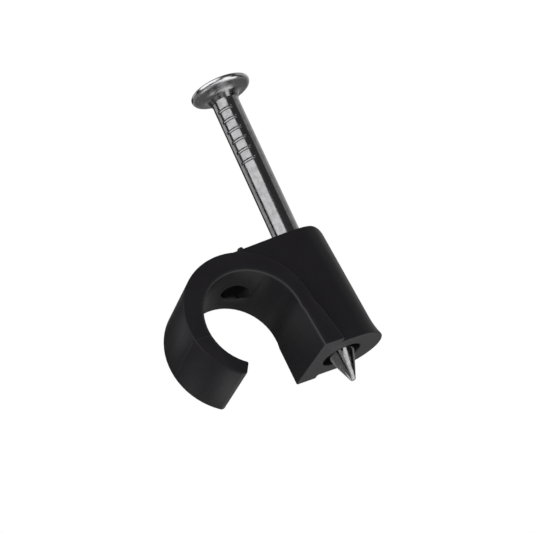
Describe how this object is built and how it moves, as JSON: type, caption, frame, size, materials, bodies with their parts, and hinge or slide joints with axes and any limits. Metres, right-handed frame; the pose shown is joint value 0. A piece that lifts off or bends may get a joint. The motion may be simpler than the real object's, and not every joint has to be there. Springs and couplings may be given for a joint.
{
  "type": "nail-in cable clip",
  "caption": "Black plastic hook clip that holds a round cable against a wall, with a steel nail standing ready in its boss.",
  "frame": {"origin": "where the nail's axis crosses the plane of the foot, which lies on the wall", "axes": "+Z out of the wall, +X from the hook towards the nose of the boss, Y along the cable"},
  "size_m": [0.0139, 0.0065, 0.0241],
  "materials": {
    "black_plastic": "satin black polyethylene as it leaves the mould",
    "zinc_steel": "drawn wire with bright zinc plating"
  },
  "bodies": {
    "clip": {"clip_body": "black_plastic"},
    "nail": {"nail": "zinc_steel"}
  },
  "joints": [
    {"name": "nail_drive", "type": "slide", "parent": "clip", "child": "nail", "axis": [-0.042, 0.0557, -0.9976], "range_m": [0, 0.0118]}
  ]
}
